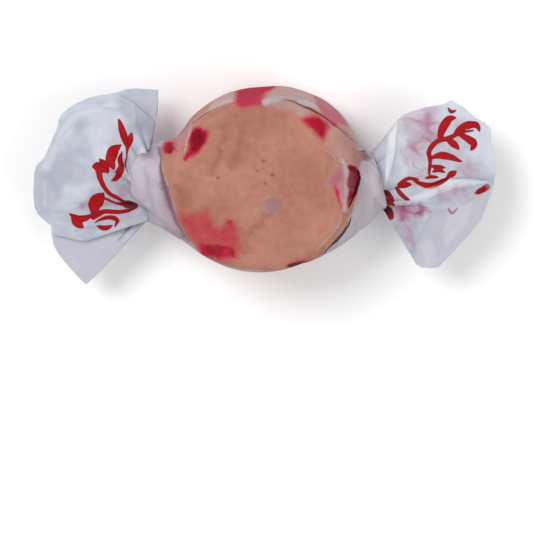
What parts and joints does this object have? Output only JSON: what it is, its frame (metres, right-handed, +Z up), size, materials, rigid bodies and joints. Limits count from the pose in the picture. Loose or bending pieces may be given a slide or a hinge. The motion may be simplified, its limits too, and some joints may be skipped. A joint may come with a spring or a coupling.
{
  "type": "salt water taffy",
  "caption": "Round of chewy candy in waxed paper, rolled into a tube and twisted at both ends into flat flared tails, lying with its round face up.",
  "frame": {"origin": "centre of the flat underside of the wrapped round", "axes": "+X along the paper tube from the left tail to the right tail, +Y across it, +Z up out of the round face that shows"},
  "size_m": [0.06, 0.0257, 0.0153],
  "materials": {
    "taffy": "soft, slightly waxy",
    "wrapper": "thin waxed paper, satin"
  },
  "bodies": {
    "root": {"taffy": "taffy", "wrapper": "wrapper"}
  },
  "joints": []
}
